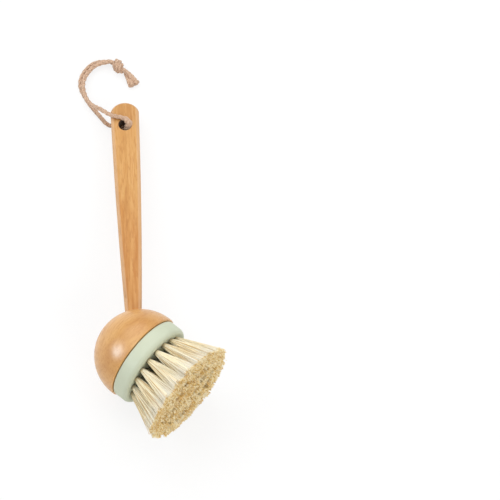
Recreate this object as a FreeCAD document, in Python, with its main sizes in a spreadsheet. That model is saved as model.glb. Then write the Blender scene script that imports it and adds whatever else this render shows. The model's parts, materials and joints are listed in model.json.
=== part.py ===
import FreeCAD, Part
import math
import os

import Sketcher
from FreeCAD import Placement, Rotation, Vector

# Dish brush with a twist-off head, lying on its side on a table.
# The head is drawn in its own frame: the origin is the centre of the dome's ball and Z runs along
# the head's axis, out through the bristles. The handle leaves the ball towards -X and -Z.
# Lengths are in millimetres and angles in degrees.
DIMENSIONS = {
    # Wooden dome: a half ball with a recess for the twist socket.
    "dome_radius": 33.0,
    "dome_base_height": 2.0,
    "dome_edge_round": 0.8,
    "dome_recess_depth": 10.0,
    # Handle: a flat stick, wider towards its free end, set into a mortise in the dome.
    "handle_angle": 46.0,
    "handle_offset": 3.9,
    "handle_reach": 206.0,
    "handle_root_reach": 18.0,
    "handle_root_width": 10.3,
    "handle_end_width": 20.9,
    "handle_side_bulge": 0.88,
    "handle_end_rise": 7.7,
    "handle_thickness": 10.0,
    "handle_shoulder_round": 4.0,
    "handle_edge_round": 2.2,
    "hole_setback": 19.2,
    "hole_radius": 4.8,
    "hole_edge_round": 0.6,
    "mortise_fit": 0.1,
    # Green brush plate with the spigot and lugs that lock it into the socket.
    "plate_inset": 1.1,
    "plate_height": 11.8,
    "plate_edge_round": 3.5,
    "plate_back_round": 0.8,
    "seam_gap": 0.4,
    "spigot_radius": 12.1,
    "spigot_wall": 3.1,
    "spigot_length": 7.5,
    "lug_reach": 3.0,
    "lug_thickness": 2.8,
    "lug_angle": 32.0,
    "lug_count": 3,
    "lock_angle": 60.0,
    # Twist socket and the screw that holds it in the dome.
    "socket_radius": 18.0,
    "socket_floor": 2.0,
    "socket_setback": 0.4,
    "socket_fit": 0.1,
    "spigot_fit": 0.3,
    "lug_fit": 0.3,
    "lug_side_angle": 2.0,
    "screw_radius": 1.9,
    "screw_length": 14.0,
    "screw_tip_length": 3.0,
    "screw_head_radius": 3.6,
    "screw_head_height": 2.2,
    "screw_head_round": 1.2,
    "screw_fit": 0.1,
    # Bristle tufts, set in rings round a centre tuft and flaring to one flat trim plane.
    "outer_row_inset": 6.9,
    "inner_row_count": 7,
    "middle_row_count": 13,
    "outer_row_count": 20,
    "tuft_radius": 2.2,
    "tuft_hole_fit": 0.05,
    "tuft_hole_depth": 9.0,
    "tuft_length": 31.5,
    "bristle_flare": 7.7,
    "tuft_gap": 0.3,
    "anchor_length": 4.3,
    "anchor_thickness": 0.4,
    "anchor_height": 1.6,
    "anchor_fit": 0.05,
    # Twine through the handle's hole, and the knot that closes its loop.
    "twine_radius": 1.45,
    "twine_handle_gap": 1.5,
    "table_gap": 0.1,
    "knot_length": 9.4,
    "knot_radius": 4.2,
    "knot_end_radius": 3.1,
    "knot_strand_offset": 1.55,
    "knot_lead": 2.4,
    # How far a cut starts outside the piece that it cuts.
    "cut_overrun": 2.0,
}

ROW_COUNT = 3
# The outer row's tufts reach this share of a row's pitch past their own middle.
TUFT_REACH_SHARE = 0.5
KNOT_WRAP_COUNT = 3
SETTLE_STEP_COUNT = 6
TUFT_SIDE_COUNT = 24
FIRST_TUFT_ANGLE = 90.0
FULL_TURN_ANGLE = 360.0
ORIGIN_INDEX = -1
START_INDEX = 1
END_INDEX = 2
CENTRE_INDEX = 3

# The twine's route: points chosen by hand, measured from the centre of the handle's hole along
# the axes that the brush lies in. Both strands start inside the hole and end at the knot.
FRONT_ROUTE = (
    (1.8, -0.4, 0.2), (1.5, 0.2, 3.5), (0.5, 1.5, 6.0), (-2.5, 4.7, 6.3), (-5.2, 6.9, 5.6),
    (-8.4, 7.9, 5.2), (-12.1, 9.8, 4.7), (-15.5, 12.0, 4.2), (-19.2, 14.3, 3.4), (-22.2, 16.9, 0.5),
    (-24.9, 20.0, -2.2), (-27.0, 23.8, -4.0), (-28.5, 27.8, -5.1), (-29.5, 32.1, -5.7),
    (-30.0, 36.4, -6.1), (-29.4, 41.0, -6.4), (-27.4, 45.7, -6.8), (-24.3, 50.0, -7.0),
    (-20.4, 53.7, -6.9), (-16.1, 55.3, -6.4), (-12.1, 55.6, -5.4),
)
BACK_ROUTE = (
    (1.8, -0.4, 0.2), (2.1, -1.0, -3.1), (1.5, -0.2, -6.1), (-1.3, 2.5, -8.0), (-5.4, 5.4, -8.8),
    (-9.6, 5.4, -8.8), (-13.0, 6.6, -8.8), (-15.6, 9.9, -8.8), (-18.6, 14.0, -8.8),
    (-21.6, 17.8, -8.8), (-24.5, 21.7, -8.8), (-27.1, 25.9, -8.8), (-29.2, 30.0, -8.8),
    (-30.9, 33.8, -8.8), (-31.9, 37.9, -8.8), (-31.6, 42.1, -8.8), (-30.1, 46.5, -8.8),
    (-26.9, 51.4, -8.8), (-22.8, 55.3, -8.8), (-18.6, 57.1, -8.8), (-14.8, 57.5, -8.6),
    (-11.7, 57.2, -8.2),
)
# The knot lies on the table with one strand over the other.
KNOT_CENTRE = (-3.4, 52.7, -6.1)
KNOT_HEADING_ANGLE = -36.0
KNOT_ROLL_ANGLE = -70.0
LEFT_TAIL_ROUTE = ((2.6, 46.9, -8.5), (4.0, 42.6, -8.8), (5.8, 37.8, -8.8))
RIGHT_TAIL_ROUTE = ((3.9, 46.5, -5.5), (7.4, 43.0, -7.5), (10.7, 38.9, -8.8))
# How far a tail runs straight out of the knot, as a share of a strand's straight lead.
TAIL_LEAD_SHARE = 0.75
# Each bend's tangent points, as a share of the shorter run beside it.
BEND_SHARE = 0.45


class Size:
    """A number together with the formula that ties it to the sheet."""

    def __init__(self, value, formula):
        self.value = value
        self.formula = formula

    def _joined(self, sign, other, value):
        return Size(value, f"({self.formula} {sign} {size_of(other).formula})")

    def __add__(self, other):
        return self._joined("+", other, self.value + size_of(other).value)

    def __sub__(self, other):
        return self._joined("-", other, self.value - size_of(other).value)

    def __mul__(self, other):
        return self._joined("*", other, self.value * size_of(other).value)

    def __truediv__(self, other):
        return self._joined("/", other, self.value / size_of(other).value)

    def __neg__(self):
        return Size(-self.value, f"(-{self.formula})")


def size_of(number):
    return number if isinstance(number, Size) else Size(number, str(number))


def square_root(size):
    return Size(math.sqrt(size.value), f"sqrt({size.formula})")


def smaller(first, second):
    return Size(min(first.value, second.value), f"min({first.formula}; {second.formula})")


def arc_radius(half_chord, rise):
    """The radius of an arc that rises so far over its chord."""
    return (half_chord * half_chord + rise * rise) / (rise * 2)


ZERO = Size(0.0, "0")
doc = FreeCAD.newDocument("dish_brush")


def make_sheet():
    """Writes the driving dimensions into a sheet and returns them by name."""
    sheet = doc.addObject("Spreadsheet::Sheet", "Dimensions")
    sizes = {}
    for row, (name, value) in enumerate(DIMENSIONS.items(), start=1):
        sheet.set(f"A{row}", name)
        sheet.set(f"B{row}", str(value))
        sheet.setAlias(f"B{row}", name)
    doc.recompute()
    for name in DIMENSIONS:
        sizes[name] = Size(float(sheet.get(name)), f"Dimensions.{name}")
    return sizes


dim = make_sheet()
num = {name: size.value for name, size in dim.items()}

# Heights along the head's axis that several pieces share.
base_height = dim["dome_base_height"]
recess_height = base_height - dim["dome_recess_depth"]
socket_front = base_height - dim["socket_setback"]
socket_floor_height = recess_height + dim["socket_floor"]
plate_back = base_height + dim["seam_gap"]
plate_face = plate_back + dim["plate_height"]
spigot_end = plate_back - dim["spigot_length"]
tuft_root = plate_face - dim["tuft_hole_depth"]
trim_plane = plate_face + dim["tuft_length"]
plate_radius = dim["dome_radius"] - dim["plate_inset"]
bristle_rim_radius = plate_radius + dim["bristle_flare"]
row_pitch = (plate_radius - dim["outer_row_inset"]) / ROW_COUNT
tip_pitch = bristle_rim_radius / (ROW_COUNT + TUFT_REACH_SHARE)
TUFTS_IN_ROW = [int(num[name]) for name in ("inner_row_count", "middle_row_count", "outer_row_count")]
ROW_NAMES = ("inner", "middle", "outer")

# Half widths of the handle at its root, its shoulders and where it enters the ball.
root_half = dim["handle_root_width"] / 2
shoulder_half = dim["handle_end_width"] / 2
shoulder_reach = dim["handle_reach"] - dim["handle_end_rise"]
side_length = shoulder_reach - dim["handle_root_reach"]
neck_share = (dim["dome_radius"] - dim["handle_root_reach"]) / side_length
off_middle_share = neck_share * 2 - 1
neck_half = (
    root_half
    + (shoulder_half - root_half) * neck_share
    + dim["handle_side_bulge"] * (size_of(1) - off_middle_share * off_middle_share)
)

# The handle's directions in the head's frame: along it towards the dome, across its flat face
# towards the bristles, and square to that face.
HANDLE_TILT = math.radians(num["handle_angle"])
ALONG = Vector(math.sin(HANDLE_TILT), 0, math.cos(HANDLE_TILT))
ACROSS = Vector(-math.cos(HANDLE_TILT), 0, math.sin(HANDLE_TILT))
FACE_NORMAL = ALONG.cross(ACROSS)
HOLE_REACH = num["handle_reach"] - num["hole_setback"]


def frame_from(x_axis, y_axis, z_axis, base):
    """The placement whose axes point along the three directions."""
    matrix = FreeCAD.Matrix(
        x_axis.x, y_axis.x, z_axis.x, base.x,
        x_axis.y, y_axis.y, z_axis.y, base.y,
        x_axis.z, y_axis.z, z_axis.z, base.z,
        0, 0, 0, 1,
    )
    return Placement(matrix)


def lying_directions():
    """The row's right, forward and up directions, in the head's frame, with the brush at rest.

    The dome and the lowest bristle tips touch the table, and the handle lies on the strand of
    twine that comes out from under it.
    """
    plane = trim_plane.value
    rim = bristle_rim_radius.value
    rise = math.sin(
        math.acos(num["dome_radius"] / math.hypot(plane, rim)) - math.atan2(plane, rim)
    )
    lift = num["table_gap"] + 2 * num["twine_radius"] + num["twine_handle_gap"]
    side = num["handle_offset"] + num["handle_end_width"] / 2 + 2 * num["twine_radius"]
    sine, cosine = math.sin(HANDLE_TILT), math.cos(HANDLE_TILT)
    level = 1.0
    for _ in range(SETTLE_STEP_COUNT):
        drop = num["dome_radius"] - lift - level * num["handle_thickness"] / 2
        slope = (drop - side * rise / sine) / (HOLE_REACH - side * cosine / sine)
        roll = (rise - cosine * slope) / sine
        level = math.sqrt(1 - slope * slope - roll * roll)
    up = ALONG * slope + ACROSS * roll + FACE_NORMAL * level
    forward = (up * slope - ALONG).normalize()
    return forward.cross(up), forward, up


def rest_placement():
    """Puts the head's frame where the brush lies, with the origin under the middle of its box."""
    right, forward, up = lying_directions()
    rim = bristle_rim_radius.value

    def rim_reach(direction, sign):
        return trim_plane.value * direction.z + sign * rim * math.sqrt(1 - direction.z**2)

    left_end, right_end = -num["dome_radius"], rim_reach(right, 1)
    near_end = rim_reach(forward, -1)
    far_end = num["handle_reach"] * -ALONG.dot(forward)
    shift = Vector(-(left_end + right_end) / 2, -(near_end + far_end) / 2, num["dome_radius"])
    turn = frame_from(right, forward, up, Vector()).inverse()
    return Placement(shift, turn.Rotation)


REST = rest_placement()
HANDLE_PLACE = frame_from(ACROSS, -ALONG, FACE_NORMAL, ACROSS * -num["handle_offset"])
HOLE_CENTRE = REST.multiply(HANDLE_PLACE).multVec(Vector(0, HOLE_REACH, 0))


def bind(obj, prop, size):
    obj.setExpression(prop, size.formula)


def new_body(label, place):
    body = doc.addObject("PartDesign::Body", label)
    body.Label = label
    body.Placement = place
    return body


def origin_feature(body, role):
    return next(f for f in body.Origin.OriginFeatures if f.Role == role)


def new_sketch(body, name, role="XZ_Plane", offset=Placement()):
    sketch = body.newObject("Sketcher::SketchObject", f"{body.Name}_{name}")
    sketch.AttachmentSupport = [(origin_feature(body, role), "")]
    sketch.MapMode = "FlatFace"
    sketch.AttachmentOffset = offset
    return sketch


def hold(sketch, constraint, size):
    """Adds a dimension to a sketch and binds it to the sheet."""
    index = sketch.addConstraint(constraint)
    name = f"size_{index}"
    sketch.renameConstraint(index, name)
    sketch.setExpression(f"Constraints.{name}", size.formula)


def pin(sketch, geometry, end, x, y):
    """Holds a point of a line, arc or circle at x, y."""
    for kind, size in (("DistanceX", x), ("DistanceY", y)):
        constraint = Sketcher.Constraint(
            kind, ORIGIN_INDEX, START_INDEX, geometry, end, size.value
        )
        hold(sketch, constraint, size)


def end_near(sketch, geometry, point):
    """Which end of a line or arc lies at the point."""
    start = sketch.getPoint(geometry, START_INDEX)
    finish = sketch.getPoint(geometry, END_INDEX)
    return START_INDEX if start.distanceToPoint(point) < finish.distanceToPoint(point) else END_INDEX


def draw_profile(sketch, corners, bends=None):
    """Draws a closed outline through the corners.

    bends gives, for a corner's index, the centre and radius of the arc that leaves it; the other
    sides are straight.
    """
    bends = bends or {}
    points = [Vector(x.value, y.value, 0) for x, y in corners]
    sides = []
    for i, point in enumerate(points):
        nxt = points[(i + 1) % len(points)]
        if i in bends:
            (centre_x, centre_y), radius = bends[i]
            centre = Vector(centre_x.value, centre_y.value, 0)
            outward = ((point + nxt) / 2 - centre).normalize()
            arc = Part.Arc(point, centre + outward * radius.value, nxt)
            sides.append(sketch.addGeometry(arc, False))
            hold(sketch, Sketcher.Constraint("Radius", sides[-1], radius.value), radius)
        else:
            sides.append(sketch.addGeometry(Part.LineSegment(point, nxt), False))
    for i, (x, y) in enumerate(corners):
        end = end_near(sketch, sides[i], points[i])
        before = end_near(sketch, sides[i - 1], points[i])
        sketch.addConstraint(
            Sketcher.Constraint("Coincident", sides[i], end, sides[i - 1], before)
        )
        pin(sketch, sides[i], end, x, y)


def draw_box(sketch, x_low, y_low, x_high, y_high):
    draw_profile(sketch, [(x_low, y_low), (x_high, y_low), (x_high, y_high), (x_low, y_high)])


def draw_circle(sketch, x, y, radius):
    circle = Part.Circle(Vector(x.value, y.value, 0), Vector(0, 0, 1), radius.value)
    index = sketch.addGeometry(circle, False)
    hold(sketch, Sketcher.Constraint("Radius", index, radius.value), radius)
    pin(sketch, index, CENTRE_INDEX, x, y)


def turn_profile(body, kind, sketch, name, axis="V_Axis", angle=None):
    """Revolves a profile about an axis of its sketch, whole or by an angle to both sides."""
    feature = body.newObject(f"PartDesign::{kind}", f"{body.Name}_{name}")
    feature.Profile = sketch
    feature.ReferenceAxis = (sketch, [axis])
    feature.Angle = FULL_TURN_ANGLE
    if angle is not None:
        feature.Midplane = True
        bind(feature, "Angle", angle)
    doc.recompute()
    return feature


def pocket(body, sketch, name, depth):
    feature = body.newObject("PartDesign::Pocket", f"{body.Name}_{name}")
    feature.Profile = sketch
    bind(feature, "Length", depth)
    doc.recompute()
    return feature


def repeat_round(body, feature, name, count):
    """Repeats a feature round the body's Z axis."""
    pattern = body.newObject("PartDesign::PolarPattern", f"{body.Name}_{name}")
    pattern.Originals = [feature]
    pattern.Axis = (origin_feature(body, "Z_Axis"), [""])
    pattern.Angle = FULL_TURN_ANGLE
    bind(pattern, "Occurrences", count)
    body.Tip = pattern
    doc.recompute()
    return pattern


def round_edges(body, base, name, radius, wanted):
    """Rounds the edges of a feature that the test picks."""
    edges = [f"Edge{i}" for i, edge in enumerate(base.Shape.Edges, start=1) if wanted(edge)]
    feature = body.newObject("PartDesign::Fillet", f"{body.Name}_{name}")
    feature.Base = (base, edges)
    bind(feature, "Radius", radius)
    doc.recompute()
    return feature


def is_circle(edge):
    return not edge.Degenerated and isinstance(edge.Curve, Part.Circle)


def make_dome():
    """Half ball with the socket's recess, the screw's pilot hole and the handle's mortise."""
    body = new_body("dome", REST)
    radius, soft = dim["dome_radius"], dim["dome_edge_round"]
    inner_radius = radius - soft
    inner_height = base_height - soft
    rim = square_root(inner_radius * inner_radius - inner_height * inner_height)
    outward_share = radius / inner_radius
    recess = dim["socket_radius"] + dim["socket_fit"]
    pilot = dim["screw_radius"] + dim["screw_fit"]
    pilot_end = socket_floor_height - dim["screw_length"] - dim["screw_fit"]
    profile = new_sketch(body, "profile")
    corners = [
        (ZERO, -radius),
        (rim * outward_share, inner_height * outward_share),
        (rim, base_height),
        (recess, base_height),
        (recess, recess_height),
        (pilot, recess_height),
        (pilot, pilot_end),
        (ZERO, pilot_end),
    ]
    bends = {0: ((ZERO, ZERO), radius), 1: ((rim, inner_height), soft)}
    draw_profile(profile, corners, bends)
    ball = turn_profile(body, "Revolution", profile, "ball")
    start = num["dome_radius"] + num["cut_overrun"]
    plane = frame_from(ACROSS, -FACE_NORMAL, -ALONG, ALONG * -start)
    mouth = new_sketch(body, "mortise_outline", "XY_Plane", plane)
    fit = dim["mortise_fit"]
    half_width = neck_half + fit
    half_height = dim["handle_thickness"] / 2 + fit
    corner = dim["handle_edge_round"]
    left = -dim["handle_offset"] - half_width
    right = -dim["handle_offset"] + half_width
    inner_left, inner_right = left + corner, right - corner
    inner_height = half_height - corner
    corners = [
        (inner_left, -half_height),
        (inner_right, -half_height),
        (right, -inner_height),
        (right, inner_height),
        (inner_right, half_height),
        (inner_left, half_height),
        (left, inner_height),
        (left, -inner_height),
    ]
    bends = {
        1: ((inner_right, -inner_height), corner),
        3: ((inner_right, inner_height), corner),
        5: ((inner_left, inner_height), corner),
        7: ((inner_left, -inner_height), corner),
    }
    draw_profile(mouth, corners, bends)
    depth = dim["dome_radius"] + dim["cut_overrun"] - dim["handle_root_reach"] + fit
    cut = pocket(body, mouth, "mortise", depth)
    assert cut.Shape.Volume < ball.Shape.Volume
    return body


def make_handle():
    """Flat tapering stick with curved sides, an arched end and a hanging hole."""
    body = new_body("handle", REST.multiply(HANDLE_PLACE))
    sketch = new_sketch(body, "outline", "XY_Plane")
    root_reach, bulge = dim["handle_root_reach"], dim["handle_side_bulge"]
    widening = shoulder_half - root_half
    chord = square_root(widening * widening + side_length * side_length)
    side_radius = arc_radius(chord / 2, bulge)
    inward = (side_radius - bulge) / chord
    centre_x = (root_half + shoulder_half) / 2 - side_length * inward
    centre_y = (root_reach + shoulder_reach) / 2 + widening * inward
    end_radius = arc_radius(shoulder_half, dim["handle_end_rise"])
    corners = [
        (root_half, root_reach),
        (shoulder_half, shoulder_reach),
        (-shoulder_half, shoulder_reach),
        (-root_half, root_reach),
    ]
    bends = {
        0: ((centre_x, centre_y), side_radius),
        1: ((ZERO, dim["handle_reach"] - end_radius), end_radius),
        2: ((-centre_x, centre_y), side_radius),
    }
    draw_profile(sketch, corners, bends)
    stick = body.newObject("PartDesign::Pad", "handle_stick")
    stick.Profile = sketch
    stick.SideType = "Symmetric"
    bind(stick, "Length", dim["handle_thickness"])
    doc.recompute()

    hole_reach = dim["handle_reach"] - dim["hole_setback"]
    overrun = Placement(Vector(0, 0, num["handle_thickness"]), Rotation())
    hole_sketch = new_sketch(body, "hole_outline", "XY_Plane", overrun)
    draw_circle(hole_sketch, ZERO, hole_reach, dim["hole_radius"])
    hole = pocket(body, hole_sketch, "hole", dim["handle_thickness"] * 2)
    assert hole.Shape.Volume < stick.Shape.Volume

    def is_shoulder(edge):
        across = edge.BoundBox
        upright = across.ZLength > num["handle_thickness"] / 2
        off_middle = abs(across.Center.x) > num["hole_radius"]
        off_shoulder = abs(across.Center.y - shoulder_reach.value)
        return upright and off_middle and off_shoulder < num["handle_end_rise"] / 2

    shoulders = round_edges(body, hole, "shoulders", dim["handle_shoulder_round"], is_shoulder)
    face_height = num["handle_thickness"] / 2

    def on_face(edge):
        box = edge.BoundBox
        flat = box.ZLength < num["mortise_fit"]
        return flat and abs(abs(box.Center.z) - face_height) < num["mortise_fit"]

    def is_hole_rim(edge):
        return on_face(edge) and is_circle(edge) and (
            abs(edge.Curve.Radius - num["hole_radius"]) < num["mortise_fit"]
        )

    def is_outline(edge):
        at_root = abs(edge.BoundBox.YMax - num["handle_root_reach"]) < num["mortise_fit"]
        return on_face(edge) and not is_hole_rim(edge) and not at_root

    outline = round_edges(body, shoulders, "sides", dim["handle_edge_round"], is_outline)
    round_edges(body, outline, "hole_rims", dim["hole_edge_round"], is_hole_rim)
    return body


def make_brush_plate():
    """Green disc with a rounded lower edge, tuft holes, and the hollow spigot with its lugs."""
    body = new_body("brush_plate", REST)
    radius = plate_radius
    lower, upper = dim["plate_edge_round"], dim["plate_back_round"]
    spigot = dim["spigot_radius"]
    bore = spigot - dim["spigot_wall"]
    profile = new_sketch(body, "profile")
    corners = [
        (ZERO, plate_face),
        (radius - lower, plate_face),
        (radius, plate_face - lower),
        (radius, plate_back + upper),
        (radius - upper, plate_back),
        (spigot, plate_back),
        (spigot, spigot_end),
        (bore, spigot_end),
        (bore, plate_back),
        (ZERO, plate_back),
    ]
    bends = {
        1: ((radius - lower, plate_face - lower), lower),
        3: ((radius - upper, plate_back + upper), upper),
    }
    draw_profile(profile, corners, bends)
    turn_profile(body, "Revolution", profile, "disc")
    lug_sketch = new_sketch(body, "lug_outline")
    draw_box(
        lug_sketch,
        spigot - dim["spigot_wall"] / 2,
        spigot_end,
        spigot + dim["lug_reach"],
        spigot_end + dim["lug_thickness"],
    )
    lug = turn_profile(body, "Revolution", lug_sketch, "lug", angle=dim["lug_angle"])
    repeat_round(body, lug, "lugs", dim["lug_count"])
    face = Placement(Vector(0, 0, plate_face.value), Rotation())
    hole_radius = dim["tuft_radius"] + dim["tuft_hole_fit"]
    for row, count_name in enumerate((None, "inner_row_count", "middle_row_count", "outer_row_count")):
        sketch = new_sketch(body, f"tuft_hole_{row}", "XY_Plane", face)
        sketch.setExpression("AttachmentOffset.Base.z", plate_face.formula)
        draw_circle(sketch, ZERO, row_pitch * row, hole_radius)
        hole = pocket(body, sketch, f"tuft_cut_{row}", dim["tuft_hole_depth"])
        if count_name:
            repeat_round(body, hole, f"tuft_holes_{row}", dim[count_name])
    return body


def make_twist_socket():
    """Insert in the dome: each lug drops in through a slot and turns behind the front rim."""
    half_turn = num["lock_angle"] / 2
    turned = Placement(Vector(), Rotation(Vector(0, 0, 1), -half_turn))
    body = new_body("twist_socket", REST.multiply(turned))
    bore = dim["spigot_radius"] + dim["spigot_fit"]
    screw_hole = dim["screw_radius"] + dim["screw_fit"]
    profile = new_sketch(body, "profile")
    corners = [
        (screw_hole, recess_height),
        (dim["socket_radius"], recess_height),
        (dim["socket_radius"], socket_front),
        (bore, socket_front),
        (bore, socket_floor_height),
        (screw_hole, socket_floor_height),
    ]
    draw_profile(profile, corners)
    cup = turn_profile(body, "Revolution", profile, "cup")
    track_depth = bore + dim["lug_reach"]
    track_start = bore - dim["lug_reach"] / 2
    track_low = spigot_end - dim["lug_fit"]
    track_high = spigot_end + dim["lug_thickness"] + dim["lug_fit"]
    slot_angle = dim["lug_angle"] + dim["lug_side_angle"] * 2
    track_sketch = new_sketch(body, "track_outline")
    draw_box(track_sketch, track_start, track_low, track_depth, track_high)
    track = turn_profile(
        body, "Groove", track_sketch, "track", angle=slot_angle + dim["lock_angle"]
    )
    repeat_round(body, track, "tracks", dim["lug_count"])
    slot_sketch = new_sketch(
        body, "slot_outline", offset=Placement(Vector(), Rotation(Vector(0, 1, 0), -half_turn))
    )
    draw_box(slot_sketch, track_start, track_low, track_depth, socket_front + dim["cut_overrun"])
    slot = turn_profile(body, "Groove", slot_sketch, "slot", angle=slot_angle)
    slots = repeat_round(body, slot, "slots", dim["lug_count"])
    assert slots.Shape.Volume < track.Shape.Volume < cup.Shape.Volume
    return body


def make_socket_screw():
    """Pan-head wood screw through the socket's floor into the dome."""
    body = new_body("socket_screw", REST)
    shank, head = dim["screw_radius"], dim["screw_head_radius"]
    crown = socket_floor_height + dim["screw_head_height"]
    soft = dim["screw_head_round"]
    point = socket_floor_height - dim["screw_length"]
    profile = new_sketch(body, "profile")
    corners = [
        (ZERO, crown),
        (head - soft, crown),
        (head, crown - soft),
        (head, socket_floor_height),
        (shank, socket_floor_height),
        (shank, point + dim["screw_tip_length"]),
        (ZERO, point),
    ]
    draw_profile(profile, corners, {1: ((head - soft, crown - soft), soft)})
    turn_profile(body, "Revolution", profile, "shank")
    return body


def tuft_places():
    """The name, row and angle of every tuft."""
    places = [("tuft_centre", 0, FIRST_TUFT_ANGLE)]
    for row, (name, count) in enumerate(zip(ROW_NAMES, TUFTS_IN_ROW), start=1):
        for i in range(count):
            angle = FIRST_TUFT_ANGLE + i * FULL_TURN_ANGLE / count
            places.append((f"tuft_{name}_{i + 1:02d}", row, angle))
    return places


def spoke(angle):
    """The head's frame turned so that X points out along a spoke."""
    return Placement(Vector(), Rotation(Vector(0, 0, 1), angle))


def make_tuft(label, row, angle):
    """Bunch of fibres: straight in its hole, then flaring to the trim plane."""
    place = REST.multiply(spoke(angle))
    tip_radius = (tip_pitch - dim["tuft_gap"]) / 2
    if row:
        half_chord = tip_pitch * row * math.sin(math.pi / TUFTS_IN_ROW[row - 1])
        tip_radius = smaller(tip_radius, half_chord - dim["tuft_gap"] / 2)
    sections = []
    for name, seat, height, radius in (
        ("root", row_pitch * row, tuft_root, dim["tuft_radius"]),
        ("mouth", row_pitch * row, plate_face, dim["tuft_radius"]),
        ("tip", tip_pitch * row, trim_plane, tip_radius),
    ):
        ring = doc.addObject("Part::RegularPolygon", f"{label}_{name}")
        ring.Polygon = TUFT_SIDE_COUNT
        bind(ring, "Circumradius", radius)
        ring.Placement = place.multiply(Placement(Vector(seat.value, 0, height.value), Rotation()))
        sections.append(ring)
    bunch = doc.addObject("Part::Loft", f"{label}_bunch")
    bunch.Sections = sections
    bunch.Solid = True
    bunch.Ruled = True
    notch = doc.addObject("Part::Box", f"{label}_notch")
    fit = dim["anchor_fit"]
    bind(notch, "Length", dim["anchor_thickness"] + fit * 2)
    bind(notch, "Width", dim["tuft_radius"] * 4)
    bind(notch, "Height", dim["anchor_height"] + dim["cut_overrun"] + fit)
    corner = Vector(
        row_pitch.value * row - num["anchor_thickness"] / 2 - num["anchor_fit"],
        -2 * num["tuft_radius"],
        tuft_root.value - num["cut_overrun"],
    )
    notch.Placement = place.multiply(Placement(corner, Rotation()))
    tuft = doc.addObject("Part::Cut", label)
    tuft.Base = bunch
    tuft.Tool = notch
    tuft.Label = label
    return tuft


def make_tuft_anchors():
    """One flat wire anchor on the floor of each tuft hole, across the fold of the fibres."""
    anchors = []
    length, thickness, height = (
        num["anchor_length"], num["anchor_thickness"], num["anchor_height"]
    )
    for _, row, angle in tuft_places():
        anchor = Part.makeBox(thickness, length, height)
        corner = Vector(row_pitch.value * row - thickness / 2, -length / 2, tuft_root.value)
        anchor.Placement = spoke(angle).multiply(Placement(corner, Rotation()))
        anchors.append(anchor)
    group = doc.addObject("Part::Feature", "tuft_anchors")
    group.Label = "tuft_anchors"
    group.Shape = Part.makeCompound(anchors)
    group.Placement = REST
    return group


def from_hole(point):
    return HOLE_CENTRE + Vector(*point)


KNOT_HEADING = Rotation(Vector(0, 0, 1), KNOT_HEADING_ANGLE)
KNOT_ROLL = Rotation(Vector(1, 0, 0), KNOT_ROLL_ANGLE)
KNOT_PLACE = Placement(from_hole(KNOT_CENTRE), KNOT_HEADING.multiply(KNOT_ROLL))


def at_knot(along, aside):
    """A point beside the knot: along its axis and to its left."""
    return KNOT_PLACE.multVec(Vector(along, aside, 0))


def strand_route(points, aside):
    """A strand's route, ending square to the knot's first face."""
    face = -num["knot_length"] / 2
    lead = [at_knot(face - num["knot_lead"], aside), at_knot(face, aside)]
    return [from_hole(point) for point in points] + lead


def tail_route(points, aside):
    """A tail's route, starting square to the knot's last face."""
    face = num["knot_length"] / 2
    lead = [at_knot(face, aside), at_knot(face + num["knot_lead"] * TAIL_LEAD_SHARE, aside)]
    return lead + [from_hole(point) for point in points]


def smooth_path(route):
    """Straight runs joined by tangent arcs that are as large as the runs allow."""
    edges = []
    radii = []
    last = route[0]
    for before, corner, after in zip(route, route[1:], route[2:]):
        arriving = (corner - before).normalize()
        leaving = (after - corner).normalize()
        turn = arriving.getAngle(leaving)
        reach = BEND_SHARE * min((corner - before).Length, (after - corner).Length)
        radius = reach / math.tan(turn / 2)
        inward = (leaving - arriving).normalize()
        start = corner - arriving * reach
        middle = corner + inward * (radius / math.cos(turn / 2) - radius)
        finish = corner + leaving * reach
        edges.append(Part.LineSegment(last, start).toShape())
        edges.append(Part.Arc(start, middle, finish).toShape())
        radii.append(round(radius, 1))
        last = finish
    edges.append(Part.LineSegment(last, route[-1]).toShape())
    return Part.Wire(edges), radii


def make_twine(label, route):
    """One stretch of twine as a round tube along its route."""
    path, radii = smooth_path(route)
    ring = Part.Circle(route[0], route[1] - route[0], num["twine_radius"])
    tube = path.makePipeShell([Part.Wire([ring.toShape()])], True, False)
    length = path.Length
    expected = math.pi * num["twine_radius"] ** 2 * length
    print(f"{label}: {length:.1f} mm long, bend radii {radii}, volume ratio {tube.Volume / expected:.4f}")
    strand = doc.addObject("Part::Feature", label)
    strand.Label = label
    strand.Shape = tube
    return strand


def make_twine_knot():
    """Overhand knot: a short barrel of wraps between two flat faces that the strands meet."""
    body = new_body("twine_knot", KNOT_PLACE)
    wrap = dim["knot_length"] / KNOT_WRAP_COUNT
    swell = dim["knot_radius"] - dim["knot_end_radius"]
    wrap_radius = arc_radius(wrap / 2, swell)
    start = -dim["knot_length"] / 2
    corners = [(start, ZERO)]
    bends = {}
    for i in range(KNOT_WRAP_COUNT):
        corners.append((start + wrap * i, dim["knot_end_radius"]))
        middle = start + wrap * i + wrap / 2
        bends[i + 1] = ((middle, dim["knot_radius"] - wrap_radius), wrap_radius)
    corners.append((-start, dim["knot_end_radius"]))
    corners.append((-start, ZERO))
    profile = new_sketch(body, "profile", "XY_Plane")
    draw_profile(profile, corners, bends)
    turn_profile(body, "Revolution", profile, "wraps", axis="H_Axis")
    return body


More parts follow.
